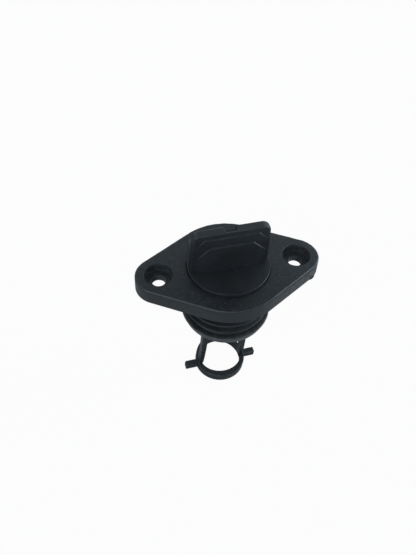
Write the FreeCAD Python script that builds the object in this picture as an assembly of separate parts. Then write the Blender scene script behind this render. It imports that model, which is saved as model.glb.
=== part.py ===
import FreeCAD, Part
import math
import os

# Drain socket with a captive screw plug, for the transom or bottom of a small boat.
# Millimetres and degrees. The origin is on the plug's axis in the plane of the flange's
# underside, +Z points out of the boat's skin towards the finger grip, and +X runs along
# the flange through the two screw holes.

# Flange of the socket
flange_thickness = 5.6
hole_spacing = 48.0
flange_end_radius = 8.0
flange_waist_radius = 20.4
flange_draft_angle = 1.0
flange_edge_radius = 0.8

# Screw holes, sunk for cheese heads
screw_hole_diameter = 4.8
screw_head_diameter = 9.7
screw_head_depth = 3.0
screw_head_edge = 0.25

# Spigot that goes through the boat's skin, and its threaded bore
bore_diameter = 24.0
bore_mouth_edge = 0.5
spigot_length = 19.1
spigot_wall = 1.7
spigot_root_flare = 0.6
rim_overhang = 2.3
rim_taper = 1.0
rim_height = 3.4
rim_land = 0.7
rim_edge_radius = 0.25
rib_count = 2
rib_pitch = 3.5
rib_to_rim = 2.8
rib_height = 1.5
rib_rooting = 0.5
rib_root_width = 1.7
rib_crest_width = 0.5

# Threaded stem of the plug, drawn at the crest of its thread
thread_clearance = 0.25
stem_length = 17.0
stem_wall = 2.4
stem_lead_edge = 0.6
neck_clearance = 0.5
neck_below_seat = 1.0
plug_turned_at_rest = 2.0

# Seal ring and its chamber
ring_cord_diameter = 2.3
ring_fit = 0.05
ring_side_gap = 0.1

# Disc of the plug and the recess that takes it
disc_cover = 0.35
disc_thickness = 3.2
disc_proud = 1.15
disc_edge_radius = 0.3
disc_side_gap = 0.35
disc_floor_gap = 0.25
recess_edge_radius = 0.3

# Captive fork below the stem: a blade, two legs, a hoop and two lugs
fork_reach = 56.4
blade_width = 17.6
blade_spread = 0.5
blade_thickness = 2.6
leg_width = 2.0
window_height = 14.35
window_corner_radius = 1.4
hoop_diameter = 19.5
hoop_wall = 1.6
hoop_height = 3.1
lug_span = 28.8
lug_width = 2.4
lug_height = 2.6
fork_edge_radius = 0.25

# Finger grip on the disc, with two step layers on each face
grip_height = 15.85
grip_foot_inset = 0.4
grip_taper = 0.4
grip_thickness = 3.0
grip_corner_radius = 3.0
grip_edge_radius = 0.3
grip_rooting = 0.8
step_inset = 1.6
step_end_spread = 3.5
upper_step_drop = 1.95
upper_corner_width = 3.0
upper_corner_height = 3.4
upper_step_ledge = 0.55
lower_step_drop = 5.5
lower_corner_width = 4.7
lower_corner_height = 5.2
lower_step_ledge = 0.6
notch_length = 3.9
notch_width = 2.3
notch_depth = 0.6
notch_corner_radius = 0.5

# Radii that follow from the sizes above
bore_radius = bore_diameter / 2
spigot_radius = bore_radius + spigot_wall
rim_radius = spigot_radius + rim_overhang
stem_radius = bore_radius - thread_clearance
stem_hollow_radius = stem_radius - stem_wall
neck_radius = bore_radius - neck_clearance
ring_cord_radius = ring_cord_diameter / 2
ring_middle_radius = neck_radius + ring_fit + ring_cord_radius
ring_outer_radius = ring_middle_radius + ring_cord_radius
chamber_radius = ring_outer_radius + ring_side_gap
disc_radius = ring_outer_radius + disc_cover
recess_radius = disc_radius + disc_side_gap
hoop_radius = hoop_diameter / 2

# Heights that follow from the sizes above
flange_top = flange_thickness
disc_top = flange_top + disc_proud
disc_bottom = disc_top - disc_thickness
recess_floor = disc_bottom - disc_floor_gap
ring_middle_height = disc_bottom - ring_fit - ring_cord_radius
chamber_floor = ring_middle_height - ring_cord_radius - ring_fit
neck_bottom = chamber_floor - neck_below_seat
stem_bottom = disc_bottom - stem_length
grip_foot = disc_top - grip_rooting
grip_top = disc_top + grip_height
fork_bottom = disc_bottom - fork_reach
hoop_top = fork_bottom + hoop_height
window_top = hoop_top + window_height

UP = FreeCAD.Vector(0, 0, 1)
ORIGIN = FreeCAD.Vector(0, 0, 0)

# Slack allowed when an edge is picked by its place
NEAR = 1e-3


def point(x, y, z):
    return FreeCAD.Vector(x, y, z)


def cylinder(radius, low, high, x=0.0):
    return Part.makeCylinder(radius, high - low, point(x, 0, low), UP)


def block(width, depth, low, high):
    """A box centred on the axis."""
    return Part.makeBox(width, depth, high - low, point(-width / 2, -depth / 2, low))


def turned(profile):
    """A solid of revolution from (radius, height) corners."""
    corners = [point(radius, 0, height) for radius, height in profile]
    face = Part.Face(Part.makePolygon(corners + corners[:1]))
    return face.revolve(ORIGIN, UP, 360)


def circle_at(edge, radius, height):
    """True for a full circle about the axis with this radius and height."""
    curve = edge.Curve
    if not isinstance(curve, Part.Circle):
        return False
    centre = curve.Center
    off_axis = math.hypot(centre.x, centre.y)
    return off_axis < NEAR and abs(curve.Radius - radius) < NEAR and abs(centre.z - height) < NEAR


def flange_outline(end_radius, waist_radius, height):
    """Two end circles and a waist circle, joined by their outer tangents."""
    reach = hole_spacing / 2
    lean = math.acos((waist_radius - end_radius) / reach)
    touch_x = math.cos(lean)
    touch_y = math.sin(lean)

    def on_circle(centre_x, radius, sign_x, sign_y):
        return point(centre_x + sign_x * radius * touch_x, sign_y * radius * touch_y, height)

    right_top = on_circle(reach, end_radius, 1, 1)
    right_low = on_circle(reach, end_radius, 1, -1)
    left_top = on_circle(-reach, end_radius, -1, 1)
    left_low = on_circle(-reach, end_radius, -1, -1)
    waist_right_top = on_circle(0, waist_radius, 1, 1)
    waist_right_low = on_circle(0, waist_radius, 1, -1)
    waist_left_top = on_circle(0, waist_radius, -1, 1)
    waist_left_low = on_circle(0, waist_radius, -1, -1)
    right_end = point(reach + end_radius, 0, height)
    left_end = point(-reach - end_radius, 0, height)
    edges = [
        Part.Arc(right_low, right_end, right_top).toShape(),
        Part.LineSegment(right_top, waist_right_top).toShape(),
        Part.Arc(waist_right_top, point(0, waist_radius, height), waist_left_top).toShape(),
        Part.LineSegment(waist_left_top, left_top).toShape(),
        Part.Arc(left_top, left_end, left_low).toShape(),
        Part.LineSegment(left_low, waist_left_low).toShape(),
        Part.Arc(waist_left_low, point(0, -waist_radius, height), waist_right_low).toShape(),
        Part.LineSegment(waist_right_low, right_low).toShape(),
    ]
    return Part.Wire(edges)


def flange_body():
    """The drafted rhombic plate with its rounded upper edge."""
    shrink = flange_thickness * math.tan(math.radians(flange_draft_angle))
    foot = flange_outline(flange_end_radius, flange_waist_radius, 0)
    head = flange_outline(flange_end_radius - shrink, flange_waist_radius - shrink, flange_top)
    plate = Part.makeLoft([foot, head], True, True)
    upper_edges = [edge for edge in plate.Edges if edge.BoundBox.ZMin > flange_top - NEAR]
    return plate.makeFillet(flange_edge_radius, upper_edges)


def spigot_body():
    """The tube below the flange with its thicker, tapered end rim."""
    rim_top = -spigot_length + rim_height
    root = spigot_radius + spigot_root_flare
    profile = [
        (0, flange_top / 2),
        (root, flange_top / 2),
        (root, 0),
        (spigot_radius, -spigot_root_flare),
        (spigot_radius, rim_top),
        (rim_radius, rim_top),
        (rim_radius, rim_top - rim_land),
        (rim_radius - rim_taper, -spigot_length),
        (0, -spigot_length),
    ]
    tube = turned(profile)
    rim_edges = [edge for edge in tube.Edges if circle_at(edge, rim_radius, rim_top)]
    tube = tube.makeFillet(rim_edge_radius, rim_edges)
    for number in range(rib_count):
        tube = tube.fuse(rib(rim_top + rib_to_rim + number * rib_pitch))
    return tube


def rib(height):
    """One ring rib on the spigot, narrower at its crest and rooted in the wall."""
    inside = spigot_radius - rib_rooting
    crest = spigot_radius + rib_height
    return turned([
        (inside, height - rib_root_width / 2),
        (crest, height - rib_crest_width / 2),
        (crest, height + rib_crest_width / 2),
        (inside, height + rib_root_width / 2),
    ])


def socket_hollow():
    """The stepped hole down the axis: disc recess, seal chamber, threaded bore."""
    over = flange_top + flange_thickness
    under = -spigot_length - flange_thickness
    return turned([
        (0, over),
        (recess_radius, over),
        (recess_radius, recess_floor),
        (chamber_radius, recess_floor),
        (chamber_radius, chamber_floor),
        (bore_radius + bore_mouth_edge, chamber_floor),
        (bore_radius, chamber_floor - bore_mouth_edge),
        (bore_radius, -spigot_length + bore_mouth_edge),
        (bore_radius + bore_mouth_edge, -spigot_length),
        (bore_radius + bore_mouth_edge, under),
        (0, under),
    ])


def screw_hole(x):
    """A through hole with a flat-bottomed head recess and a broken edge."""
    head_floor = flange_top - screw_head_depth
    head_radius = screw_head_diameter / 2
    shank = cylinder(screw_hole_diameter / 2, -flange_thickness, flange_top, x)
    head = cylinder(head_radius, head_floor, flange_top + flange_thickness, x)
    lip = Part.makeCone(
        head_radius,
        head_radius + screw_head_edge,
        screw_head_edge,
        point(x, 0, flange_top - screw_head_edge),
        UP,
    )
    return shank.fuse([head, lip])


def make_socket():
    solid = flange_body().fuse(spigot_body())
    solid = solid.cut(socket_hollow())
    solid = solid.cut(screw_hole(-hole_spacing / 2))
    solid = solid.cut(screw_hole(hole_spacing / 2))
    mouth = [edge for edge in solid.Edges if circle_at(edge, recess_radius, flange_top)]
    return solid.makeFillet(recess_edge_radius, mouth)


def make_o_ring():
    return Part.makeTorus(ring_middle_radius, ring_cord_radius, point(0, 0, ring_middle_height), UP)


def plug_head_and_stem():
    """Disc, neck and threaded stem, hollow from below and parted by a web."""
    solid = turned([
        (0, disc_top),
        (disc_radius, disc_top),
        (disc_radius, disc_bottom),
        (neck_radius, disc_bottom),
        (neck_radius, neck_bottom),
        (stem_radius, neck_bottom - (stem_radius - neck_radius)),
        (stem_radius, stem_bottom + stem_lead_edge),
        (stem_radius - stem_lead_edge, stem_bottom),
        (stem_hollow_radius, stem_bottom),
        (stem_hollow_radius, disc_bottom),
        (0, disc_bottom),
    ])
    rim = [edge for edge in solid.Edges if circle_at(edge, disc_radius, disc_top)]
    solid = solid.makeFillet(disc_edge_radius, rim)
    web_width = 2 * stem_hollow_radius + stem_wall
    return solid.fuse(block(web_width, blade_thickness, stem_bottom, disc_bottom))


def upright_outline(corners):
    """A closed wire in the XZ plane from (x, z) corners."""
    row = [point(x, 0, z) for x, z in corners]
    return Part.makePolygon(row + row[:1])


def plate_from(wire, thickness):
    """An upright plate of this thickness, centred on the XZ plane."""
    face = Part.Face(wire)
    plate = face.extrude(point(0, thickness, 0))
    plate.translate(point(0, -thickness / 2, 0))
    return plate


def grip_slab():
    """The thin upper part of the grip, with rounded upper corners and eased edges."""
    foot_half = disc_radius - grip_foot_inset
    top_half = foot_half - grip_taper
    slab = plate_from(
        upright_outline([
            (-foot_half, grip_foot),
            (foot_half, grip_foot),
            (top_half, grip_top),
            (-top_half, grip_top),
        ]),
        grip_thickness,
    )
    corners = [
        edge for edge in slab.Edges
        if edge.BoundBox.ZMin > grip_top - NEAR and edge.BoundBox.XLength < NEAR
    ]
    slab = slab.makeFillet(grip_corner_radius, corners)
    rims = [
        edge for edge in slab.Edges
        if edge.BoundBox.ZMax > grip_foot + NEAR and edge.BoundBox.YLength < NEAR
    ]
    return slab.makeFillet(grip_edge_radius, rims)


def step_plan(step_half_width, thickness):
    """Plan of a step layer: flat middle, and elliptical ends that die into the slab."""
    half = thickness / 2
    slab_half = grip_thickness / 2
    flat = step_half_width - step_end_spread
    spread = step_end_spread / math.sqrt(1 - (slab_half / half) ** 2)
    upper = [point(-flat, half, 0), point(flat, half, 0)]
    lower = [point(flat, -half, 0), point(-flat, -half, 0)]
    right = Part.Ellipse(point(flat, 0, 0), spread, half)
    left = Part.Ellipse(point(-flat, 0, 0), spread, half)
    quarter = math.pi / 2
    return Part.Wire([
        Part.LineSegment(lower[1], lower[0]).toShape(),
        Part.ArcOfEllipse(right, -quarter, quarter).toShape(),
        Part.LineSegment(upper[1], upper[0]).toShape(),
        Part.ArcOfEllipse(left, quarter, 3 * quarter).toShape(),
    ])


def grip_step(drop, corner_width, corner_height, thickness):
    """A step layer on both faces of the slab, its upper corners cut at a slant."""
    half_width = disc_radius - grip_foot_inset - step_inset
    top = grip_top - drop
    shoulder = top - corner_height
    flat = half_width - corner_width
    front = plate_from(
        upright_outline([
            (-half_width, grip_foot),
            (half_width, grip_foot),
            (half_width, shoulder),
            (flat, top),
            (-flat, top),
            (-half_width, shoulder),
        ]),
        thickness,
    )
    plan = Part.Face(step_plan(half_width, thickness)).extrude(point(0, 0, top - grip_foot))
    plan.translate(point(0, 0, grip_foot))
    return front.common(plan)


def grip_notch():
    """The shallow sunk seat in the middle of the grip's top edge."""
    seat = block(notch_length, notch_width, grip_top - notch_depth, grip_top + notch_depth)
    upright = [edge for edge in seat.Edges if edge.BoundBox.ZLength > notch_depth]
    return seat.makeFillet(notch_corner_radius, upright)


def make_grip():
    upper_thickness = grip_thickness + 2 * upper_step_ledge
    lower_thickness = upper_thickness + 2 * lower_step_ledge
    upper = grip_step(upper_step_drop, upper_corner_width, upper_corner_height, upper_thickness)
    lower = grip_step(lower_step_drop, lower_corner_width, lower_corner_height, lower_thickness)
    return grip_slab().fuse([upper, lower]).cut(grip_notch())


def make_fork():
    """Blade with its window, and the hoop with two lugs at its lower end."""
    head_half = blade_width / 2
    foot_half = head_half + blade_spread
    opening = head_half - leg_width
    hoop_inside = hoop_radius - hoop_wall
    blade = plate_from(
        upright_outline([
            (-foot_half, fork_bottom),
            (foot_half, fork_bottom),
            (head_half, stem_bottom),
            (-head_half, stem_bottom),
        ]),
        blade_thickness,
    )
    window = plate_from(
        upright_outline([
            (-hoop_inside, fork_bottom - hoop_height),
            (hoop_inside, fork_bottom - hoop_height),
            (hoop_inside, fork_bottom),
            (opening + blade_spread, hoop_top),
            (opening, window_top),
            (-opening, window_top),
            (-opening - blade_spread, hoop_top),
            (-hoop_inside, fork_bottom),
        ]),
        2 * blade_thickness,
    )
    upper_corners = [
        edge for edge in window.Edges
        if edge.BoundBox.ZMin > window_top - NEAR and edge.BoundBox.XLength < NEAR
    ]
    window = window.makeFillet(window_corner_radius, upper_corners)
    blade = blade.cut(window)
    hoop = turned([
        (hoop_inside, fork_bottom),
        (hoop_radius, fork_bottom),
        (hoop_radius, hoop_top),
        (hoop_inside, hoop_top),
    ])
    rims = [edge for edge in hoop.Edges if isinstance(edge.Curve, Part.Circle)]
    hoop = hoop.makeFillet(fork_edge_radius, rims)
    lugs = block(lug_span, lug_width, fork_bottom, fork_bottom + lug_height)
    inside = hoop_radius - hoop_wall / 2
    lugs = lugs.cut(cylinder(inside, fork_bottom - lug_height, hoop_top))
    return blade.fuse([hoop, lugs])


def make_plug():
    solid = plug_head_and_stem().fuse([make_grip(), make_fork()]).removeSplitter()
    solid.rotate(ORIGIN, UP, plug_turned_at_rest)
    return solid


def save(shape, node):
    """Write one closed solid and print its size."""
    solid = shape.Solids[0]
    box = solid.BoundBox
    print(
        node,
        "solids", len(shape.Solids),
        "valid", solid.isValid(),
        "volume", round(solid.Volume, 1),
        "box", [round(v, 2) for v in (box.XMin, box.YMin, box.ZMin, box.XMax, box.YMax, box.ZMax)],
    )
    solid.exportStep("parts/" + node + ".step")


os.makedirs("parts", exist_ok=True)
save(make_socket(), "socket")
save(make_o_ring(), "o_ring")
save(make_plug(), "plug")
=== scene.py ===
import math

import bmesh
import bpy
from mathutils import Matrix, Vector


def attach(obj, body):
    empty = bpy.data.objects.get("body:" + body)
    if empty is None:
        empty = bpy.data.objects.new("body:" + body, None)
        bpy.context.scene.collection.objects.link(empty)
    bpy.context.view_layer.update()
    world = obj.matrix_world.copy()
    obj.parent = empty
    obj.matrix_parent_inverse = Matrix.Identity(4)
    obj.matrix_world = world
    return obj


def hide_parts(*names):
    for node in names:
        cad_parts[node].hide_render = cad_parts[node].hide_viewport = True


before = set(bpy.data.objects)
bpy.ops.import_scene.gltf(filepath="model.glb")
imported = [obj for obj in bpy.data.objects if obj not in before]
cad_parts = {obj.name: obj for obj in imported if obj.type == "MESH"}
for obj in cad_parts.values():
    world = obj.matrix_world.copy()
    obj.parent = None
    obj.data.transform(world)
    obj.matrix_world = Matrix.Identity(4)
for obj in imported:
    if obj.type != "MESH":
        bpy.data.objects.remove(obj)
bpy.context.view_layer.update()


# Socket.
# One injection moulding of black glass-filled nylon: a rhombic flange with two sunk screw
# seats, a round recess for the plug's disc, and a plain tube with a thicker, tapered end rim.
# It is screwed to the outside of the boat's skin, the tube going through it.
MM = 0.001
flange_top = 5.6
hole_spacing = 48.0
flange_end_radius = 8.0
flange_waist_radius = 20.4
flange_draft = math.tan(math.radians(1.0)) * flange_top
flange_edge_radius = 0.55
recess_radius = 14.38
recess_floor = 3.3
chamber_radius = 13.95
chamber_floor = 1.15
bore_radius = 12.0
bore_mouth = 0.5
tube_radius = 13.7
tube_end = -19.1
root_flare = 0.6
rim_radius = 16.0
rim_top = -15.7
rim_land = 0.7
rim_taper = 1.0
head_seat_radius = 4.85
head_seat_floor = 2.6
screw_hole_radius = 2.4
nylon_black = (0.0092, 0.0107, 0.0117)
nylon_grey = (0.0200, 0.0230, 0.0250)
bead_grey = (0.070, 0.074, 0.078)
# Pale grey painted on by the edge attribute as a highlight on edges and as light in shaded hollows.
painted_sheen_grey = (0.091, 0.092, 0.091)
dust_grey = (0.140, 0.145, 0.150)


def rise(value, start, end):
    """0 up to the start, 1 from the end on, and a straight line between them."""
    return min(max((value - start) / (end - start), 0.0), 1.0)


def soften(before, corner, after, radius, steps=6, hold=0.05):
    """A rounded corner in a plane, with a holding point on each side that keeps the flats flat."""
    p = Vector(corner)
    to_a = (Vector(before) - p).normalized()
    to_b = (Vector(after) - p).normalized()
    half = to_a.angle(to_b) / 2
    reach = radius / math.tan(half)
    centre = p + (to_a + to_b).normalized() * (radius / math.sin(half))
    start = p + to_a * reach - centre
    end = p + to_b * reach - centre
    turn = math.atan2(start.x * end.y - start.y * end.x, start.dot(end))
    points = [p + to_a * (reach + hold)]
    for k in range(steps + 1):
        c = math.cos(turn * k / steps)
        s = math.sin(turn * k / steps)
        points.append(centre + Vector((start.x * c - start.y * s, start.x * s + start.y * c)))
    points.append(p + to_b * (reach + hold))
    return points


def softened_path(corners, closed=False, steps=6, hold=0.05):
    """A path through (a, b, radius) corners; the ends of an open path only give it its direction."""
    count = len(corners)
    places = range(count) if closed else range(1, count - 1)
    path = []
    for i in places:
        here = corners[i]
        before = corners[i - 1]
        after = corners[(i + 1) % count]
        if here[2] > 0:
            path += soften(before[:2], here[:2], after[:2], here[2], steps, hold)
        else:
            path.append(Vector(here[:2]))
    return path


def add_row(bm, points):
    return [bm.verts.new(p) for p in points]


def skin(bm, rows, around=True):
    """Quads between rows of equally many points."""
    for low, high in zip(rows, rows[1:]):
        count = len(low)
        for i in range(count if around else count - 1):
            j = (i + 1) % count
            bm.faces.new((low[i], low[j], high[j], high[i]))


def fill_flat(bm, loops):
    """A flat face that ends at the first loop and leaves the other loops open."""
    edges = []
    for loop in loops:
        for a, b in zip(loop, loop[1:] + loop[:1]):
            edges.append(bm.edges.get((a, b)) or bm.edges.new((a, b)))
    bmesh.ops.triangle_fill(bm, edges=edges, use_beauty=True, use_dissolve=False)


def turn_profile(bm, path, centre_x=0.0, count=144):
    """Rows of a turned surface about an upright axis through centre_x."""
    rows = []
    for radius, height in path:
        ring = []
        for k in range(count):
            angle = 2 * math.pi * k / count
            ring.append((centre_x + radius * math.cos(angle), radius * math.sin(angle), height))
        rows.append(add_row(bm, ring))
    skin(bm, rows)
    return rows


def to_piece(bm, name, material, turned_by=0.0, crease=32.0):
    """A finished piece in metres, closed, faces outward, with its place in its mesh."""
    bmesh.ops.remove_doubles(bm, verts=bm.verts, dist=1e-5)
    bmesh.ops.recalc_face_normals(bm, faces=bm.faces)
    place = Matrix.Rotation(math.radians(turned_by), 4, "Z") @ Matrix.Scale(MM, 4)
    bmesh.ops.transform(bm, matrix=place, verts=bm.verts)
    mesh = bpy.data.meshes.new(name)
    bm.to_mesh(mesh)
    bm.free()
    mesh.materials.append(material)
    mesh.polygons.foreach_set("use_smooth", [True] * len(mesh.polygons))
    mesh.set_sharp_from_angle(angle=math.radians(crease))
    piece = bpy.data.objects.new(name, mesh)
    bpy.context.scene.collection.objects.link(piece)
    return piece


def flange_outline(inset, arc_steps=44, side_steps=10):
    """Two end arcs and two waist arcs joined by their outer tangents, anticlockwise."""
    reach = hole_spacing / 2
    lean = math.acos((flange_waist_radius - flange_end_radius) / reach)
    arcs = (
        (reach, flange_end_radius - inset, -lean, 2 * lean),
        (0.0, flange_waist_radius - inset, lean, math.pi - 2 * lean),
        (-reach, flange_end_radius - inset, math.pi - lean, 2 * lean),
        (0.0, flange_waist_radius - inset, math.pi + lean, math.pi - 2 * lean),
    )
    points = []
    for centre_x, radius, start, sweep in arcs:
        arc = []
        for k in range(arc_steps + 1):
            angle = start + sweep * k / arc_steps
            arc.append(Vector((centre_x + radius * math.cos(angle), radius * math.sin(angle))))
        if points:
            side = arc[0] - points[-1]
            points += [points[-1] + side * k / side_steps for k in range(1, side_steps)]
        points += arc
    side = points[0] - points[-1]
    points += [points[-1] + side * k / side_steps for k in range(1, side_steps)]
    return points


def moulded_nylon(name, dark, light, grain, grain_size, gloss, grit, speck, pits=()):
    """Moulded black nylon: mottled tone, fine grain, dust, and by the edge attribute a painted
    highlight and painted light in shaded hollows, broken into scuff-like patches.

    Grain and its size are in mm, gloss is the middle roughness, and a pit is (x, y, z, width,
    depth). Grit is the strength of the light beads and speck the share of dust, both of them
    strongest on faces near the flange's top and above it."""
    material = bpy.data.materials.new(name)
    material.use_nodes = True
    nodes = material.node_tree.nodes
    links = material.node_tree.links
    shader = nodes["Principled BSDF"]
    place = nodes.new("ShaderNodeTexCoord")

    def noise(size_mm, detail, roughness):
        node = nodes.new("ShaderNodeTexNoise")
        node.inputs["Scale"].default_value = 1000.0 / size_mm
        node.inputs["Detail"].default_value = detail
        node.inputs["Roughness"].default_value = roughness
        links.new(place.outputs["Object"], node.inputs["Vector"])
        return node.outputs["Fac"]

    def sum_of(a, b, weight):
        node = nodes.new("ShaderNodeMath")
        node.operation = "MULTIPLY_ADD"
        links.new(b, node.inputs[0])
        node.inputs[1].default_value = weight
        links.new(a, node.inputs[2])
        return node.outputs["Value"]

    def spread(value, low, high, to_low, to_high):
        node = nodes.new("ShaderNodeMapRange")
        node.inputs["From Min"].default_value = low
        node.inputs["From Max"].default_value = high
        node.inputs["To Min"].default_value = to_low
        node.inputs["To Max"].default_value = to_high
        links.new(value, node.inputs["Value"])
        return node.outputs["Result"]

    def product(a, b):
        node = nodes.new("ShaderNodeMath")
        node.operation = "MULTIPLY"
        links.new(a, node.inputs[0])
        links.new(b, node.inputs[1])
        return node.outputs["Value"]

    def blend(share, under, over):
        node = nodes.new("ShaderNodeMix")
        node.data_type = "RGBA"
        links.new(share, node.inputs["Factor"])
        for colour, socket in ((under, node.inputs["A"]), (over, node.inputs["B"])):
            if isinstance(colour, tuple):
                socket.default_value = (*colour, 1.0)
            else:
                links.new(colour, socket)
        return node.outputs["Result"]

    cloud = noise(9.0, 3.0, 0.55)
    blotch = noise(grain_size * 3.0, 3.0, 0.6)
    bead = noise(grain_size, 2.0, 0.55)
    fine = noise(grain_size * 0.4, 2.0, 0.6)

    mottle = spread(sum_of(cloud, blotch, 1.0), 0.78, 1.28, 0.0, 0.55)
    tone = blend(mottle, dark, light)

    level = nodes.new("ShaderNodeSeparateXYZ")
    links.new(place.outputs["Object"], level.inputs["Vector"])
    upper = spread(level.outputs["Z"], (flange_top - 0.7) * MM, (flange_top - 0.1) * MM, 0.2, 1.0)
    if grit > 0:
        beads = nodes.new("ShaderNodeTexVoronoi")
        beads.inputs["Scale"].default_value = 1600.0
        links.new(place.outputs["Object"], beads.inputs["Vector"])
        picked = nodes.new("ShaderNodeSeparateColor")
        links.new(beads.outputs["Color"], picked.inputs["Color"])
        spot = product(upper, spread(beads.outputs["Distance"], 0.10, 0.55, 1.0, 0.0))
        share = spread(picked.outputs["Red"], 0.4, 1.0, 0.0, grit)
        tone = blend(product(spot, share), tone, bead_grey)

    # Painted light: the edge attribute mixes in a pale grey highlight on rounded edges and lifts
    # shaded hollows, broken up into patches by noise.
    painted_sheen = nodes.new("ShaderNodeAttribute")
    painted_sheen.attribute_name = "edge"
    patches = spread(sum_of(noise(1.5, 2.0, 0.6), bead, 0.5), 0.58, 0.92, 0.30, 0.92)
    tone = blend(product(painted_sheen.outputs["Fac"], patches), tone, painted_sheen_grey)

    cells = nodes.new("ShaderNodeTexVoronoi")
    cells.inputs["Scale"].default_value = 620.0
    links.new(place.outputs["Object"], cells.inputs["Vector"])
    dot = product(upper, spread(cells.outputs["Distance"], 0.05, 0.16, 1.0, 0.0))
    chosen = nodes.new("ShaderNodeSeparateColor")
    links.new(cells.outputs["Color"], chosen.inputs["Color"])
    dust = product(dot, spread(chosen.outputs["Red"], 1.0 - speck, 1.0 - 0.3 * speck, 0.0, 0.7))
    links.new(blend(dust, tone, dust_grey), shader.inputs["Base Color"])

    rough = spread(sum_of(cloud, bead, 0.6), 0.55, 1.05, gloss - 0.07, gloss + 0.07)
    links.new(rough, shader.inputs["Roughness"])

    height = sum_of(sum_of(bead, fine, 0.5), blotch, 0.8)
    for x, y, z, width, depth in pits:
        away = nodes.new("ShaderNodeVectorMath")
        away.operation = "DISTANCE"
        links.new(place.outputs["Object"], away.inputs[0])
        away.inputs[1].default_value = (x * MM, y * MM, z * MM)
        dent = spread(away.outputs["Value"], 0.35 * width * MM, width * MM, -depth, 0.0)
        height = sum_of(height, dent, 1.0)
    bump = nodes.new("ShaderNodeBump")
    bump.inputs["Strength"].default_value = 1.0
    bump.inputs["Distance"].default_value = grain * MM
    links.new(height, bump.inputs["Height"])
    links.new(bump.outputs["Normal"], shader.inputs["Normal"])
    shader.inputs["IOR"].default_value = 1.5
    shader.inputs["Specular IOR Level"].default_value = 0.5
    return material


socket_nylon = moulded_nylon(
    "socket_nylon", nylon_black, nylon_grey,
    grain=0.045, grain_size=0.32, gloss=0.42, grit=0.6, speck=0.07,
    pits=(
        (9.94, -16.85, 2.8, 0.35, 5.0),
        (14.75, -13.75, 5.35, 0.3, 4.0),
        (14.45, -14.35, 4.6, 0.22, 4.0),
    ),
)

bm = bmesh.new()
# The edge attribute carries painted light: highlights on edges and lighter shade in hollows.
sheen_layer = bm.verts.layers.float.new("edge")
section = softened_path([
    (3.0, flange_top, 0), (flange_draft, flange_top, flange_edge_radius),
    (0.68 * flange_draft, 0.68 * flange_top, 0), (0.0, 0.0, 0.15), (3.0, 0.0, 0),
], steps=8)
edge_rows = 9
# Painted highlight along the top edge's rounding, row by row from the top, made stronger at the right
# end and the left side, where the edge catches the most light.
edge_sheen = (0.0, 0.05, 0.2, 0.5, 0.4, 0.1)
wall_rows = []
for number, (inset, height) in enumerate(section):
    uneven = 0.03 * math.sin(math.pi * min(number, edge_rows) / edge_rows) ** 2
    row = []
    for p in flange_outline(inset):
        wave = math.sin(1.9 * p.x + 0.7 * p.y) + math.sin(3.1 * p.y - 1.3 * p.x) - 1.0
        vert = bm.verts.new((p.x, p.y, height + uneven * wave))
        right_end = rise(p.x, 6.0, 20.0)
        left_side = rise(-p.x, 4.0, 10.0)
        if number < len(edge_sheen):
            vert[sheen_layer] = edge_sheen[number] * (0.4 + 1.5 * right_end + 0.9 * left_side)
        elif number > edge_rows + 1:
            # Painted light on the lower wall: lighter towards the right end and its tip, a little on
            # the left, and only on the front half.
            right_tip = 1.0 + 0.5 * rise(p.x, 23.0, 29.0)
            wall_sheen = 0.62 * right_end * right_tip + 0.10 * left_side
            vert[sheen_layer] = wall_sheen * rise(-p.y, -2.5, 3.0)
        row.append(vert)
    wall_rows.append(row)
skin(bm, wall_rows)
tube_rows = turn_profile(bm, softened_path([
    (20.0, flange_top, 0), (recess_radius, flange_top, 0.10), (recess_radius, recess_floor, 0.2),
    (chamber_radius, recess_floor, 0.1), (chamber_radius, chamber_floor, 0.3),
    (bore_radius + bore_mouth, chamber_floor, 0.05),
    (bore_radius, chamber_floor - bore_mouth, 0.1), (bore_radius, tube_end + bore_mouth, 0.1),
    (bore_radius + bore_mouth, tube_end, 0.1), (rim_radius - rim_taper, tube_end, 0.2),
    (rim_radius, rim_top - rim_land, 0.15), (rim_radius, rim_top, 0.25),
    (tube_radius, rim_top, 0.25), (tube_radius, -root_flare, 0.6),
    (tube_radius + root_flare, 0.0, 0.05), (20.0, 0.0, 0),
]))
seat_rows = []
for centre_x in (-hole_spacing / 2, hole_spacing / 2):
    seat_rows.append(turn_profile(bm, softened_path([
        (8.0, flange_top, 0), (head_seat_radius, flange_top, 0.2),
        (head_seat_radius, head_seat_floor, 0.12), (screw_hole_radius, head_seat_floor, 0.14),
        (screw_hole_radius, 0.0, 0.1), (8.0, 0.0, 0),
    ], steps=4), centre_x, 72))
# Painted light: the recess and chamber walls, in shade round the disc, are lightened, and the rim's
# land gets a painted highlight.
for row in tube_rows:
    radius = row[0].co.x
    height = row[0].co.z
    in_recess = tube_radius - 0.2 < radius < recess_radius + 0.07 and 0.5 < height < flange_top - 0.1
    on_rim = radius > rim_radius - 0.7 and height < 0
    if in_recess or on_rim:
        for vert in row:
            vert[sheen_layer] = 0.8
# Painted light in the screw seats: their shaded walls and floors are lifted with the pale edge
# colour.
for row in seat_rows[0] + seat_rows[1]:
    if 0.1 < row[0].co.z < flange_top - 0.2:
        for vert in row:
            vert[sheen_layer] = 0.25 if row[0].co.z > head_seat_floor + 0.3 else 0.4
fill_flat(bm, [wall_rows[0], tube_rows[0], seat_rows[0][0], seat_rows[1][0]])
fill_flat(bm, [wall_rows[-1], tube_rows[-1], seat_rows[0][-1], seat_rows[1][-1]])
socket_moulding = to_piece(bm, "socket_moulding", socket_nylon)
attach(socket_moulding, "socket")
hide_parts("socket")


# Gate mark.
# Where the moulding was cut from its runner: a low, rough stub on the lower edge of the
# flange's right end.
gate_bearing = -57.0
gate_half_angle = 9.5
gate_foot = 0.04
gate_height = 1.2
gate_stand = 0.24
gate_sunk = 0.4

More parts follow.
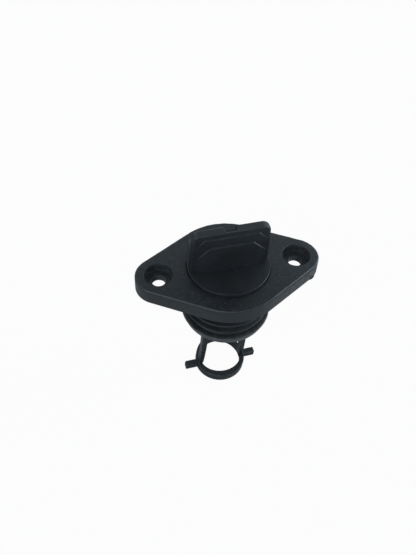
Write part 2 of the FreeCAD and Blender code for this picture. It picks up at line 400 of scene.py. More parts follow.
bm = bmesh.new()
rows = []
for k in range(9):
    up = k / 8
    height = gate_foot + gate_height * up
    wall = flange_end_radius - flange_draft * height / flange_top
    front = []
    back = []
    for i in range(17):
        across = i / 8 - 1
        angle = math.radians(gate_bearing + gate_half_angle * across)
        torn = 0.05 * math.sin(11.0 * across + 2.0 * k) + 0.04 * math.cos(5.3 * k + 3.0 * across)
        stand = (gate_stand + torn) * (1 - across ** 6) * (1 - up ** 4) + 0.01
        for row, radius in ((front, wall + stand), (back, wall - gate_sunk)):
            x = hole_spacing / 2 + radius * math.cos(angle)
            row.append((x, radius * math.sin(angle), height))
    rows.append(add_row(bm, front + back[::-1]))
skin(bm, rows)
fill_flat(bm, [rows[0]])
fill_flat(bm, [rows[-1]])
gate_stub = to_piece(bm, "gate_stub", socket_nylon)
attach(gate_stub, "socket")


# Ribs on the tube.
# Two thin rings moulded round the tube above its end rim, where they bite into the sealant
# in the boat's skin. Each is narrower at its crest, and they stand one pitch apart.
def group_input(tree, name, kind, value=None):
    """A named input of a Geometry Nodes tree."""
    socket = tree.interface.new_socket(name=name, in_out="INPUT", socket_type=kind)
    if value is not None:
        socket.default_value = value


def start_tree(name, sizes):
    """An empty tree with named size inputs, a material input and a mesh output."""
    tree = bpy.data.node_groups.new(name, "GeometryNodeTree")
    tree.interface.new_socket(name="Mesh", in_out="OUTPUT", socket_type="NodeSocketGeometry")
    group_input(tree, "Blank", "NodeSocketGeometry")
    for label, kind, value in sizes:
        group_input(tree, label, kind, value)
    group_input(tree, "Finish", "NodeSocketMaterial")
    return tree, tree.nodes.new("NodeGroupInput"), tree.nodes.new("NodeGroupOutput")


def join_up(tree, source, target, name):
    tree.links.new(source, target.inputs[name])


def finish_tree(tree, given, result, mesh):
    """Realize Instances and Set Material close every tree."""
    real = tree.nodes.new("GeometryNodeRealizeInstances")
    join_up(tree, mesh, real, "Geometry")
    finish = tree.nodes.new("GeometryNodeSetMaterial")
    join_up(tree, real.outputs["Geometry"], finish, "Geometry")
    join_up(tree, given.outputs["Finish"], finish, "Material")
    tree.links.new(finish.outputs["Geometry"], result.inputs["Mesh"])


def grow(name, tree, values, turned_by=0.0):
    """Runs a tree on an empty mesh with these values and keeps the result as a plain mesh."""
    seed = bpy.data.objects.new(name + "_seed", bpy.data.meshes.new(name + "_seed"))
    bpy.context.scene.collection.objects.link(seed)
    modifier = seed.modifiers.new(name, "NODES")
    modifier.node_group = tree
    sockets = {
        item.name: item.identifier
        for item in tree.interface.items_tree
        if item.item_type == "SOCKET" and item.in_out == "INPUT"
    }
    for label, value in values.items():
        modifier[sockets[label]] = value
    evaluated = seed.evaluated_get(bpy.context.evaluated_depsgraph_get())
    mesh = bpy.data.meshes.new_from_object(evaluated)
    seed.modifiers.remove(modifier)
    bpy.data.objects.remove(seed)
    bm = bmesh.new()
    bm.from_mesh(mesh)
    for face in bm.faces:
        face.material_index = 0
    bpy.data.meshes.remove(mesh)
    return to_piece(bm, name, values["Finish"], turned_by, crease=40.0)


tree, given, result = start_tree("ring_ribs", [
    ("Middle radius", "NodeSocketFloat", 14.24),
    ("Rib height", "NodeSocketFloat", 1.9),
    ("Root width", "NodeSocketFloat", 1.6),
    ("Crest width", "NodeSocketFloat", 0.48),
    ("Lowest rib", "NodeSocketFloat", -12.9),
    ("Pitch", "NodeSocketFloat", 3.5),
    ("Ribs", "NodeSocketInt", 2),
])
loop = tree.nodes.new("GeometryNodeCurvePrimitiveCircle")
loop.inputs["Resolution"].default_value = 144
join_up(tree, given.outputs["Middle radius"], loop, "Radius")
shape = tree.nodes.new("GeometryNodeCurvePrimitiveQuadrilateral")
shape.mode = "TRAPEZOID"
join_up(tree, given.outputs["Rib height"], shape, "Height")
join_up(tree, given.outputs["Root width"], shape, "Bottom Width")
join_up(tree, given.outputs["Crest width"], shape, "Top Width")
shape.inputs["Offset"].default_value = 0.0
eased = tree.nodes.new("GeometryNodeFilletCurve")
eased.mode = "POLY"
eased.inputs["Count"].default_value = 4
eased.inputs["Radius"].default_value = 0.16
tree.links.new(shape.outputs["Curve"], eased.inputs["Curve"])
aside = tree.nodes.new("GeometryNodeTransform")
aside.inputs["Rotation"].default_value = (0.0, 0.0, math.radians(-90))
tree.links.new(eased.outputs["Curve"], aside.inputs["Geometry"])
swept = tree.nodes.new("GeometryNodeCurveToMesh")
tree.links.new(loop.outputs["Curve"], swept.inputs["Curve"])
tree.links.new(aside.outputs["Geometry"], swept.inputs["Profile Curve"])
step = tree.nodes.new("ShaderNodeCombineXYZ")
join_up(tree, given.outputs["Pitch"], step, "Z")
start = tree.nodes.new("ShaderNodeCombineXYZ")
join_up(tree, given.outputs["Lowest rib"], start, "Z")
ladder = tree.nodes.new("GeometryNodeMeshLine")
join_up(tree, given.outputs["Ribs"], ladder, "Count")
join_up(tree, start.outputs["Vector"], ladder, "Start Location")
join_up(tree, step.outputs["Vector"], ladder, "Offset")
placed = tree.nodes.new("GeometryNodeInstanceOnPoints")
tree.links.new(ladder.outputs["Mesh"], placed.inputs["Points"])
tree.links.new(swept.outputs["Mesh"], placed.inputs["Instance"])
finish_tree(tree, given, result, placed.outputs["Instances"])
tube_ribs = grow("tube_ribs", tree, {"Finish": socket_nylon})
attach(tube_ribs, "socket")


# Thread inside the socket's tube.
# A coarse right-hand thread of trapezoid section, moulded with the tube, its ends fading into
# the wall. The plug's stem runs in it with a little play.
thread_pitch = 4.0

tree, given, result = start_tree("coarse_thread", [
    ("Wall radius", "NodeSocketFloat", 12.0),
    ("Ridge", "NodeSocketFloat", 0.8),
    ("Root width", "NodeSocketFloat", 2.0),
    ("Crest width", "NodeSocketFloat", 1.1),
    ("Turns", "NodeSocketFloat", 3.0),
    ("Rise", "NodeSocketFloat", 12.0),
    ("Lowest point", "NodeSocketFloat", -18.0),
    ("Facing", "NodeSocketFloat", 1.0),
    ("Fade", "NodeSocketFloat", 0.06),
])
spiral = tree.nodes.new("GeometryNodeCurveSpiral")
spiral.inputs["Resolution"].default_value = 96
join_up(tree, given.outputs["Turns"], spiral, "Rotations")
join_up(tree, given.outputs["Wall radius"], spiral, "Start Radius")
join_up(tree, given.outputs["Wall radius"], spiral, "End Radius")
join_up(tree, given.outputs["Rise"], spiral, "Height")
upright = tree.nodes.new("GeometryNodeSetCurveNormal")
upright.mode = "Z_UP"
tree.links.new(spiral.outputs["Curve"], upright.inputs["Curve"])
along = tree.nodes.new("GeometryNodeSplineParameter")
fade_in = tree.nodes.new("ShaderNodeMapRange")
fade_in.interpolation_type = "SMOOTHSTEP"
tree.links.new(along.outputs["Factor"], fade_in.inputs["Value"])
join_up(tree, given.outputs["Fade"], fade_in, "From Max")
fade_in.inputs["To Min"].default_value = 0.05
left = tree.nodes.new("ShaderNodeMath")
left.operation = "SUBTRACT"
left.inputs[0].default_value = 1.0
tree.links.new(along.outputs["Factor"], left.inputs[1])
fade_out = tree.nodes.new("ShaderNodeMapRange")
fade_out.interpolation_type = "SMOOTHSTEP"
tree.links.new(left.outputs["Value"], fade_out.inputs["Value"])
join_up(tree, given.outputs["Fade"], fade_out, "From Max")
fade_out.inputs["To Min"].default_value = 0.05
both = tree.nodes.new("ShaderNodeMath")
both.operation = "MULTIPLY"
tree.links.new(fade_in.outputs["Result"], both.inputs[0])
tree.links.new(fade_out.outputs["Result"], both.inputs[1])
shape = tree.nodes.new("GeometryNodeCurvePrimitiveQuadrilateral")
shape.mode = "TRAPEZOID"
join_up(tree, given.outputs["Ridge"], shape, "Height")
join_up(tree, given.outputs["Root width"], shape, "Bottom Width")
join_up(tree, given.outputs["Crest width"], shape, "Top Width")
shape.inputs["Offset"].default_value = 0.0
eased = tree.nodes.new("GeometryNodeFilletCurve")
eased.mode = "POLY"
eased.inputs["Count"].default_value = 3
eased.inputs["Radius"].default_value = 0.12
tree.links.new(shape.outputs["Curve"], eased.inputs["Curve"])
raised = tree.nodes.new("GeometryNodeTransform")
half_ridge = tree.nodes.new("ShaderNodeMath")
half_ridge.operation = "MULTIPLY"
half_ridge.inputs[1].default_value = 0.5
join_up(tree, given.outputs["Ridge"], half_ridge, 0)
lift = tree.nodes.new("ShaderNodeCombineXYZ")
tree.links.new(half_ridge.outputs["Value"], lift.inputs["Y"])
tree.links.new(lift.outputs["Vector"], raised.inputs["Translation"])
tree.links.new(eased.outputs["Curve"], raised.inputs["Geometry"])
facing = tree.nodes.new("GeometryNodeTransform")
quarter = tree.nodes.new("ShaderNodeMath")
quarter.operation = "MULTIPLY"
quarter.inputs[1].default_value = math.pi / 2
join_up(tree, given.outputs["Facing"], quarter, 0)
spin = tree.nodes.new("ShaderNodeCombineXYZ")
tree.links.new(quarter.outputs["Value"], spin.inputs["Z"])
tree.links.new(spin.outputs["Vector"], facing.inputs["Rotation"])
tree.links.new(raised.outputs["Geometry"], facing.inputs["Geometry"])
swept = tree.nodes.new("GeometryNodeCurveToMesh")
swept.inputs["Fill Caps"].default_value = True
tree.links.new(upright.outputs["Curve"], swept.inputs["Curve"])
tree.links.new(facing.outputs["Geometry"], swept.inputs["Profile Curve"])
tree.links.new(both.outputs["Value"], swept.inputs["Scale"])
lowered = tree.nodes.new("GeometryNodeTransform")
start = tree.nodes.new("ShaderNodeCombineXYZ")
join_up(tree, given.outputs["Lowest point"], start, "Z")
tree.links.new(start.outputs["Vector"], lowered.inputs["Translation"])
tree.links.new(swept.outputs["Mesh"], lowered.inputs["Geometry"])
finish_tree(tree, given, result, lowered.outputs["Geometry"])
thread_tree = tree

bore_turns = 4.0
bore_thread = grow("bore_thread", thread_tree, {
    "Wall radius": 12.05, "Ridge": 0.82, "Turns": bore_turns, "Rise": bore_turns * thread_pitch,
    "Lowest point": -17.8, "Facing": -1.0, "Fade": 0.05, "Finish": socket_nylon,
})
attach(bore_thread, "socket")


# Seal ring.
# A round nitrile rubber ring on the plug's neck, matt black, squeezed between the disc and the
# floor of the socket's chamber when the plug is tight.
def seal_rubber_finish():
    material = bpy.data.materials.new("seal_rubber")
    material.use_nodes = True
    nodes = material.node_tree.nodes
    links = material.node_tree.links
    shader = nodes["Principled BSDF"]
    place = nodes.new("ShaderNodeTexCoord")
    smear = nodes.new("ShaderNodeTexNoise")
    smear.inputs["Scale"].default_value = 700.0
    smear.inputs["Detail"].default_value = 4.0
    links.new(place.outputs["Object"], smear.inputs["Vector"])
    tone = nodes.new("ShaderNodeValToRGB")
    tone.color_ramp.elements[0].position = 0.35
    tone.color_ramp.elements[0].color = (0.010, 0.010, 0.011, 1.0)
    tone.color_ramp.elements[1].position = 0.70
    tone.color_ramp.elements[1].color = (0.022, 0.022, 0.023, 1.0)
    links.new(smear.outputs["Fac"], tone.inputs["Fac"])
    links.new(tone.outputs["Color"], shader.inputs["Base Color"])
    rough = nodes.new("ShaderNodeMapRange")
    rough.inputs["To Min"].default_value = 0.42
    rough.inputs["To Max"].default_value = 0.62
    links.new(smear.outputs["Fac"], rough.inputs["Value"])
    links.new(rough.outputs["Result"], shader.inputs["Roughness"])
    skin_grain = nodes.new("ShaderNodeTexNoise")
    skin_grain.inputs["Scale"].default_value = 5000.0
    links.new(place.outputs["Object"], skin_grain.inputs["Vector"])
    bump = nodes.new("ShaderNodeBump")
    bump.inputs["Distance"].default_value = 0.01 * MM
    links.new(skin_grain.outputs["Fac"], bump.inputs["Height"])
    links.new(bump.outputs["Normal"], shader.inputs["Normal"])
    return material


seal_rubber = seal_rubber_finish()
tree, given, result = start_tree("round_seal", [
    ("Ring radius", "NodeSocketFloat", 12.7),
    ("Cord radius", "NodeSocketFloat", 1.15),
    ("Height", "NodeSocketFloat", 2.35),
])
loop = tree.nodes.new("GeometryNodeCurvePrimitiveCircle")
loop.inputs["Resolution"].default_value = 128
join_up(tree, given.outputs["Ring radius"], loop, "Radius")
cord_section = tree.nodes.new("GeometryNodeCurvePrimitiveCircle")
cord_section.inputs["Resolution"].default_value = 32
join_up(tree, given.outputs["Cord radius"], cord_section, "Radius")
swept = tree.nodes.new("GeometryNodeCurveToMesh")
tree.links.new(loop.outputs["Curve"], swept.inputs["Curve"])
tree.links.new(cord_section.outputs["Curve"], swept.inputs["Profile Curve"])
seated = tree.nodes.new("GeometryNodeTransform")
level = tree.nodes.new("ShaderNodeCombineXYZ")
join_up(tree, given.outputs["Height"], level, "Z")
tree.links.new(level.outputs["Vector"], seated.inputs["Translation"])
tree.links.new(swept.outputs["Mesh"], seated.inputs["Geometry"])
finish_tree(tree, given, result, seated.outputs["Geometry"])
seal_ring = grow("seal_ring", tree, {"Finish": seal_rubber})
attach(seal_ring, "seal")
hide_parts("o_ring")


# Disc and stem of the plug.
# The disc closes the socket and the hollow stem below it carries the thread. With the grip and
# the fork it is one moulding of black nylon, smoother than the socket's flange.
plug_turned = 2.0
disc_radius = 14.2
disc_top = 6.75
disc_bottom = 3.55
neck_radius = 11.5
neck_bottom = 0.15
core_radius = 10.95
core_top = -0.4
hollow_radius = 9.35
stem_bottom = -13.45
stem_taper = 0.6
plug_black = (0.0103, 0.0120, 0.0132)
plug_grey = (0.0188, 0.0216, 0.0238)
plug_nylon = moulded_nylon(
    "plug_nylon", plug_black, plug_grey,
    grain=0.018, grain_size=0.30, gloss=0.42, grit=0.0, speck=0.03,
)

bm = bmesh.new()
sheen_layer = bm.verts.layers.float.new("edge")
rows = turn_profile(bm, softened_path([
    (0.0, disc_top, 0), (disc_radius, disc_top, 0.18), (disc_radius, disc_bottom, 0.2),
    (neck_radius, disc_bottom, 0.2), (neck_radius, neck_bottom, 0.1), (core_radius, core_top, 0.1),
    (core_radius, stem_bottom + stem_taper, 0.15), (core_radius - stem_taper, stem_bottom, 0.15),
    (hollow_radius, stem_bottom, 0.15), (hollow_radius, disc_bottom, 0.6), (0.0, disc_bottom, 0),
]))
fill_flat(bm, [rows[0]])
fill_flat(bm, [rows[-1]])
# Painted light on the disc's side, which lies in shade in the gap round the recess.
for row in rows:
    if row[0].co.x > disc_radius - 0.1 and row[0].co.z < disc_top - 0.5:
        for vert in row:
            vert[sheen_layer] = 0.4
plug_disc = to_piece(bm, "plug_disc", plug_nylon, plug_turned)
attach(plug_disc, "plug")
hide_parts("plug")


# Thread on the stem.
# The male half of the coarse right-hand thread, standing on the stem's core half a pitch from
# the socket's ridge, with faded ends.
stem_turns = 2.5
stem_thread = grow("stem_thread", thread_tree, {
    "Wall radius": 10.9, "Ridge": 0.85, "Turns": stem_turns, "Rise": stem_turns * thread_pitch,
    "Lowest point": -11.8, "Facing": 1.0, "Fade": 0.07, "Finish": plug_nylon,
}, plug_turned)
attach(stem_thread, "plug")


# Finger grip.
# An upright slab across the disc, moulded with it. Two stepped layers thicken each face towards
# the foot, their upper corners cut off aslant, and a small sunk seat is in the top edge.
grip_foot = disc_top - 0.8
grip_top = 22.6
slab_half = 1.5
slab_foot_reach = 13.8
slab_top_reach = 13.4
slab_reach_at_disc = 13.77
slab_corner = 3.0
slab_edge_radius = 0.33
slab_end_widening = 1.09
slab_back_radius = 0.36
slab_foot_radius = 0.15
layer_reach = 12.2
layer_flat = 8.2
layer_end = 12.9
lower_layer_half = 2.38
upper_layer_half = 1.92
seat_half_width = 1.95
seat_lip = 0.35
seat_edge_depth = 1.0
seat_floor_depth = 0.30


def inset_points(points, distances):
    """A closed outline moved inwards, (a, b) anticlockwise, each point by its own distance."""
    moved = []
    count = len(points)
    for i, here in enumerate(points):
        ahead = (points[(i + 1) % count] - here).normalized()
        behind = (here - points[i - 1]).normalized()
        normal = Vector((-(ahead.y + behind.y), ahead.x + behind.x))
        size = normal.length
        normal.normalize()
        stretch = 2.0 / size if size > 0.5 else 1.0
        moved.append(here + normal * distances[i] * min(stretch, 1.6))
    return moved


def upright_plate(bm, outline, half_thickness, front_radii, back_radii, sheen_layer, sheen_strength,
                  steps=5, back=True):
    """A plate in the XZ plane with both rims rounded, by one radius for each point of the outline.

    The rims carry a painted highlight, strongest half-way round each rounding, and the back face can
    be left open."""
    hold = 0.05
    stations = [(1.0, hold, 0.0, 0.0, 0.0)]
    for k in range(steps + 1):
        angle = math.pi / 2 * k / steps
        stations.append((1 - math.sin(angle), 0.0, 1 - math.cos(angle), 0.0, math.sin(2 * angle)))
    stations.append((0.0, 0.0, 1.0, hold, 0.0))
    rows = []
    for face, radii, half in ((-1, front_radii, stations), (1, back_radii, stations[::-1])):
        for inwards, extra_in, down, extra_down, painted_sheen in half:
            inner = inset_points(outline, [r * inwards + extra_in for r in radii])
            row = []
            for p, r in zip(inner, radii):
                depth = half_thickness - r * down - extra_down
                vert = bm.verts.new((p.x, face * depth, p.y))
                vert[sheen_layer] = painted_sheen * sheen_strength
                row.append(vert)
            rows.append(row)
    skin(bm, rows)
    fill_flat(bm, [rows[0]])
    if back:
        fill_flat(bm, [rows[-1]])
    return rows


def layer_half(x, half_thickness):
    """Half the thickness of a step layer at x: level in the middle, eased into the slab's ends."""
    share = rise(abs(x), layer_flat, layer_end)
    return slab_half + (half_thickness - slab_half) * (1 + math.cos(math.pi * share)) / 2


def step_layer(bm, sheen_layer, drop, corner_width, corner_height, half_thickness, under, flare=0.0):
    """One stepped layer on both faces, with its ledge eased into the layer under it.

    Its top lies the drop below the grip's, its corners are cut by the corner's width and height,
    and the flare widens its foot into the disc."""
    top = grip_top - drop
    shoulder = layer_reach - corner_width
    slant = corner_height / corner_width
    foot = grip_foot + 0.1 * (half_thickness - slab_half)
    places = [layer_flat * k / 8 for k in range(9)]
    places += [layer_flat + (layer_end - layer_flat) * k / 22 for k in range(1, 23)]
    places += [shoulder - 0.05, shoulder, shoulder + 0.05]
    places = sorted(set(round(p, 4) for p in places))
    places = [-p for p in reversed(places[1:])] + places
    rows = []
    for x in places:
        half = layer_half(x, half_thickness)
        inner = min(layer_half(x, under), half) - 0.02
        ledge = half - inner
        high = top - max(0.0, abs(x) - shoulder) * slant
        outer = min(0.14, 0.42 * ledge) if x < shoulder else min(0.22, 0.52 * ledge)
        ease = min(0.20, 0.5 * ledge)
        side = [Vector((half, foot))]
        if flare > 0:
            sweep = 0.02 + flare * (half - slab_half) / (half_thickness - slab_half)
            side = [Vector((half + sweep, foot))]
            for k in range(7):
                angle = math.pi / 2 * k / 6
                across = half + sweep * (1 - math.sin(angle))
                side.append(Vector((across, disc_top - 0.01 + sweep * (1 - math.cos(angle)))))
        side += softened_path([
            (half, foot, 0), (half, high, outer), (inner, high, ease), (inner, high + 0.6, 0),
        ], steps=4, hold=0.002)
        side.append(Vector((inner, high + 0.6)))
        # Painted highlight on the ledge's outer rounding, strongest on the right-hand slant, where
        # the light falls.
        painted_sheen = 0.35
        if abs(x) > shoulder:
            painted_sheen = 0.95 if x > 0 else 0.3
        row = []
        for p in [Vector((-q.x, q.y)) for q in side] + side[::-1]:
            vert = bm.verts.new((x, p.x, p.y))
            if abs(p.y - high) < outer and half - abs(p.x) < 1.3 * outer:
                vert[sheen_layer] = painted_sheen
            row.append(vert)
        rows.append(row)
    skin(bm, rows)
    fill_flat(bm, [rows[0]])
    fill_flat(bm, [rows[-1]])


bm = bmesh.new()
sheen_layer = bm.verts.layers.float.new("edge")
slab = softened_path([
    (-slab_foot_reach, grip_foot, 0.2), (slab_foot_reach, grip_foot, 0.2),
    (slab_top_reach, grip_top, slab_corner), (-slab_top_reach, grip_top, slab_corner),
], closed=True, steps=14, hold=0.3)
corner_points = len(slab) // 4
slab[3 * corner_points:3 * corner_points] = [Vector((x, grip_top)) for x in (
    seat_half_width + seat_lip, seat_half_width, -seat_half_width, -seat_half_width - seat_lip,
)]
slab.insert(2 * corner_points, Vector((slab_reach_at_disc, disc_top + 0.02)))
slab.append(Vector((-slab_reach_at_disc, disc_top + 0.02)))
notch_right = 3 * corner_points + 2
notch_left = notch_right + 1
front_radii = []
for p in slab:
    share = rise(abs(p.x), layer_reach, slab_top_reach)
    radius = slab_edge_radius + slab_end_widening * share * share * (3 - 2 * share)
    front_radii.append(radius if p.y > disc_top else slab_foot_radius)
back_radii = [min(radius, slab_back_radius) for radius in front_radii]
# The slab's rims carry a painted highlight.
rows = upright_plate(
    bm, slab, slab_half, front_radii, back_radii, sheen_layer, 0.3, steps=6, back=False)
land = len(rows) // 2
for row in rows[land:]:
    bm.edges.remove(bm.edges.get((row[notch_right], row[notch_left])))
# Painted highlight along the back top edge to the left of the seat.
for row in rows[land + 1:-2]:
    for vert in row:
        if -layer_reach < vert.co.x < 0.05 - seat_half_width and vert.co.z > grip_top - 0.5:
            vert[sheen_layer] = 1.9
# No painted highlight on the front rims at the slab's ends.
for row in rows[:land]:
    for vert in row:
        if abs(vert.co.x) > layer_reach:
            vert[sheen_layer] = 0.0
rim = rows[land - 1]
seat = [
    (rim[notch_right].co.y, seat_edge_depth), (-0.75, seat_edge_depth),
    (0.05, seat_floor_depth), (slab_half, seat_floor_depth),
]
seat_right = add_row(bm, [(seat_half_width, y, grip_top - depth) for y, depth in seat])
seat_left = add_row(bm, [(-seat_half_width, y, grip_top - depth) for y, depth in seat])
skin(bm, [[rim[notch_right]] + seat_right, [rim[notch_left]] + seat_left], around=False)
fill_flat(bm, [[row[notch_right] for row in rows[land - 1:]] + seat_right[::-1]])
fill_flat(bm, [[row[notch_left] for row in rows[land - 1:]] + seat_left[::-1]])
fill_flat(bm, [rows[-1][:notch_left] + [seat_right[-1], seat_left[-1]] + rows[-1][notch_left:]])
# Painted highlight on the seat's front lip.
for row in rows[land - 3:land]:
    for column in (notch_right, notch_left):
        row[column][sheen_layer] = 1.0
step_layer(
    bm, sheen_layer, drop=1.95, corner_width=3.0, corner_height=3.4,
    half_thickness=upper_layer_half, under=slab_half,
)
step_layer(
    bm, sheen_layer, drop=5.5, corner_width=4.7, corner_height=5.2,
    half_thickness=lower_layer_half, under=upper_layer_half, flare=0.06,
)
finger_grip = to_piece(bm, "finger_grip", plug_nylon, plug_turned)
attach(finger_grip, "plug")


# Captive fork.
# A flat blade, moulded with the plug, goes down through the hollow stem and splits into two legs
# with a hoop and two lugs at their end. The lugs catch under the socket, so the plug can't be
# lost. The thin legs have bowed a little to one side and the hoop is a little oval.
fork_bottom = -52.85
fork_turned = plug_turned + 1.0
blade_top = 3.3
blade_foot = -13.1
blade_half_width = 10.2
blade_half_thickness = 1.3
leg_half_width = 8.8
leg_flare = 0.0118
foot_outside = 9.27
foot_inside = 8.1
window_half_width = 6.8
window_flare = 0.035
window_top = -35.4
window_foot_half_width = 7.3
hoop_top = -49.75
hoop_inner_radius = 8.15
hoop_outer_radius = 9.75
hoop_split_radius = 8.6
hoop_back_stretch = 1.10
hoop_front_squeeze = 0.88
lug_root = 8.8
lug_reach = 14.4
lug_top = -50.27
lug_half_thickness = 1.2
bow_top = -15.0
bow_bottom = -32.0
bow_width = 0.55
bow_return = 0.0028

bm = bmesh.new()
sheen_layer = bm.verts.layers.float.new("edge")
leg_foot = fork_bottom + 0.06
right_half = [(window_half_width, window_top, 1.4)]
for z in range(-38, -49, -2):
    right_half.append((window_half_width + window_flare * (window_top - z), z, 0))
right_half += [
    (window_foot_half_width, hoop_top, 0.6), (foot_inside, leg_foot, 0.3),
    (foot_outside, leg_foot, 0.3),
]
for z in range(-50, -16, 3):
    right_half.append((leg_half_width + leg_flare * (blade_foot - z), z, 0))
right_half += [
    (leg_half_width, blade_foot, 0.2), (blade_half_width, blade_foot, 0.2),
    (blade_half_width, blade_top, 0.2),
]
left_half = [(-x, z, radius) for x, z, radius in right_half[:0:-1]]
left_half.append((-window_half_width, window_top, 0.5))
blade = softened_path(left_half + right_half, closed=True, steps=6, hold=0.1)
radii = [0.28] * len(blade)
rows = upright_plate(bm, blade, blade_half_thickness, radii, radii, sheen_layer, 0.5)
# Painted light on the left leg's outer side, as if lit from the left.
for row in rows[5:-5]:
    for vert in row:
        if vert.co.x < -8.5 and -47.0 < vert.co.z < -20.0:
            vert[sheen_layer] = 0.45
rows = turn_profile(bm, softened_path([
    (hoop_inner_radius, fork_bottom, 0.25), (hoop_outer_radius, fork_bottom, 0.25),
    (hoop_outer_radius, hoop_top, 0.35), (hoop_inner_radius, hoop_top, 0.25),
], closed=True, steps=5), count=120)
skin(bm, [rows[-1], rows[0]])
for row in rows:
    for vert in row:
        if vert.co.y > 0:
            vert.co.y *= hoop_back_stretch
        elif math.hypot(vert.co.x, vert.co.y) < hoop_split_radius:
            vert.co.y *= hoop_front_squeeze
for side in (-1, 1):
    lug = softened_path([
        (lug_root, fork_bottom + 0.02, 0.2), (lug_reach, fork_bottom + 0.02, 0.35),
        (lug_reach, lug_top, 0.35), (lug_root, lug_top, 0.2),
    ], closed=True, steps=5, hold=0.04)
    if side < 0:
        lug = [Vector((-p.x, p.y)) for p in reversed(lug)]
    radii = [0.25] * len(lug)
    # Painted highlight on the lugs' rims, stronger on the right lug.
    upright_plate(bm, lug, lug_half_thickness, radii, radii, sheen_layer, 0.55 + 0.3 * side)
for vert in bm.verts:
    bow = rise(-vert.co.z, -bow_top, -bow_bottom)
    curl = max(0.0, bow_bottom - vert.co.z)
    vert.co.x += bow_width * bow * bow * (3 - 2 * bow) - bow_return * curl ** 2
captive_fork = to_piece(bm, "captive_fork", plug_nylon, fork_turned)
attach(captive_fork, "plug")


# Floor.
# A plain white sheet under the object, pure white to the camera but for a faint shadow.
floor_height = (fork_bottom - 0.2) * MM
floor_reach = 3.0


def seen_share(nodes, links, mirror_share):
    """All for rays from the camera, a small share for mirrored and refracted rays, else none."""
    ray = nodes.new("ShaderNodeLightPath")
    mirrored = nodes.new("ShaderNodeMath")
    mirrored.operation = "ADD"
    links.new(ray.outputs["Is Glossy Ray"], mirrored.inputs[0])
    links.new(ray.outputs["Is Transmission Ray"], mirrored.inputs[1])
    shown = nodes.new("ShaderNodeMath")
    shown.operation = "MULTIPLY_ADD"
    shown.use_clamp = True
    links.new(mirrored.outputs["Value"], shown.inputs[0])
    shown.inputs[1].default_value = mirror_share
    links.new(ray.outputs["Is Camera Ray"], shown.inputs[2])
    return shown.outputs["Value"]


bm = bmesh.new()
fill_flat(bm, [add_row(bm, [
    (x * floor_reach, y * floor_reach, floor_height) for x, y in ((-1, -1), (1, -1), (1, 1), (-1, 1))
])])
mesh = bpy.data.meshes.new("floor")
bm.to_mesh(mesh)
bm.free()
floor = bpy.data.objects.new("floor", mesh)
bpy.context.scene.collection.objects.link(floor)
paper = bpy.data.materials.new("white_paper")
paper.use_nodes = True
nodes = paper.node_tree.nodes
links = paper.node_tree.links
nodes.remove(nodes["Principled BSDF"])
matt = nodes.new("ShaderNodeBsdfDiffuse")
matt.inputs["Color"].default_value = (0.50, 0.50, 0.50, 1.0)
white = nodes.new("ShaderNodeEmission")
white.inputs["Color"].default_value = (1.0, 1.0, 1.0, 1.0)
white.inputs["Strength"].default_value = 1.0
seen = nodes.new("ShaderNodeMath")
seen.operation = "MULTIPLY"
seen.inputs[1].default_value = 0.96
links.new(seen_share(nodes, links, 0.05), seen.inputs[0])
mixed = nodes.new("ShaderNodeMixShader")
links.new(seen.outputs["Value"], mixed.inputs["Fac"])
links.new(matt.outputs["BSDF"], mixed.inputs[1])
links.new(white.outputs["Emission"], mixed.inputs[2])
links.new(mixed.outputs["Shader"], nodes["Material Output"].inputs["Surface"])
mesh.materials.append(paper)


# Light.
# Broad soft lamps stand low at the right and at the left front, a faint one behind, and a pale
# band runs round a dark tent half-way up, so that upright faces and rounded edges are lighter
# than level ones. The camera sees a white backdrop in place of the tent.
window_colour = (0.87, 1.0, 1.11)
tent_dark = (0.002, 0.003, 0.004, 1.0)
tent_band = (0.63, 0.72, 0.80, 1.0)


def soft_window(name, height, bearing, width, strength):
    """A soft light from far off, its angles in degrees: bearing 0 is at the back, 90 at the right."""
    data = bpy.data.lights.new(name, "SUN")
    data.angle = math.radians(width)
    data.energy = strength
    data.color = window_colour
    lamp = bpy.data.objects.new(name, data)
    up = math.radians(height)
    turn = math.radians(bearing)
    place = Vector((math.sin(turn) * math.cos(up), math.cos(turn) * math.cos(up), math.sin(up)))
    lamp.location = place
    lamp.rotation_mode = "QUATERNION"
    lamp.rotation_quaternion = place.to_track_quat("Z", "Y")
    bpy.context.scene.collection.objects.link(lamp)


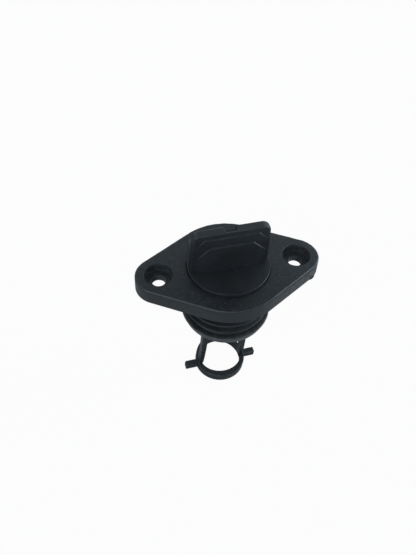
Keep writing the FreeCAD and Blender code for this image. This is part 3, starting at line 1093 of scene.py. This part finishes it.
soft_window("right_low", 10, 90, 24, 0.88)
soft_window("right", 30, 90, 26, 0.55)
soft_window("right_back", 10, 60, 66, 0.65)
soft_window("right_front", 10, 122, 66, 0.46)
soft_window("left_front", 30, 222, 60, 1.25)
soft_window("back_left", 42, 336, 40, 0.15)
world = bpy.data.worlds.new("tent")
bpy.context.scene.world = world
world.use_nodes = True
nodes = world.node_tree.nodes
links = world.node_tree.links
direction = nodes.new("ShaderNodeTexCoord")
parts = nodes.new("ShaderNodeSeparateXYZ")
links.new(direction.outputs["Generated"], parts.inputs["Vector"])
ramp = nodes.new("ShaderNodeValToRGB")
ramp.color_ramp.interpolation = "EASE"
for end, height in enumerate((0.12, 0.80)):
    ramp.color_ramp.elements[end].position = height
    ramp.color_ramp.elements[end].color = tent_dark
for height in (0.36, 0.60):
    band = ramp.color_ramp.elements.new(height)
    band.color = tent_band
links.new(parts.outputs["Z"], ramp.inputs["Fac"])
links.new(ramp.outputs["Color"], nodes["Background"].inputs["Color"])
backdrop = nodes.new("ShaderNodeBackground")
backdrop.inputs["Color"].default_value = (1.0, 1.0, 1.0, 1.0)
backdrop.inputs["Strength"].default_value = 0.976
mixed = nodes.new("ShaderNodeMixShader")
links.new(seen_share(nodes, links, 0.04), mixed.inputs["Fac"])
links.new(nodes["Background"].outputs["Background"], mixed.inputs[1])
links.new(backdrop.outputs["Background"], mixed.inputs[2])
links.new(mixed.outputs["Shader"], nodes["World Output"].inputs["Surface"])


# Camera.
# It stands where the photograph was taken from: in front, a little to the left, looking down.
turn = math.radians(-14.28)
tilt = math.radians(49.33)
roll = math.radians(2.57)
distance = 0.20321
aside = 0.00693
lowered_by = 0.00435
focal_pixels = 600.0
frame_pixels = 555.0

ahead = Vector((-math.sin(turn) * math.cos(tilt), math.cos(turn) * math.cos(tilt), -math.sin(tilt)))
right = Vector((math.cos(turn), math.sin(turn), 0.0))
down = ahead.cross(right)
across = right * math.cos(roll) - down * math.sin(roll)
below = right * math.sin(roll) + down * math.cos(roll)
target = Vector((0.0, 0.0, flange_top * MM))
place = target - across * aside + below * lowered_by - ahead * distance
data = bpy.data.cameras.new("camera")
data.sensor_fit = "AUTO"
data.sensor_width = 36.0
data.lens = focal_pixels * data.sensor_width / frame_pixels
camera = bpy.data.objects.new("camera", data)
bpy.context.scene.collection.objects.link(camera)
camera.matrix_world = Matrix((
    (across.x, -below.x, -ahead.x, place.x),
    (across.y, -below.y, -ahead.y, place.y),
    (across.z, -below.z, -ahead.z, place.z),
    (0.0, 0.0, 0.0, 1.0),
))
bpy.context.scene.camera = camera
bpy.context.scene.view_settings.view_transform = "Standard"
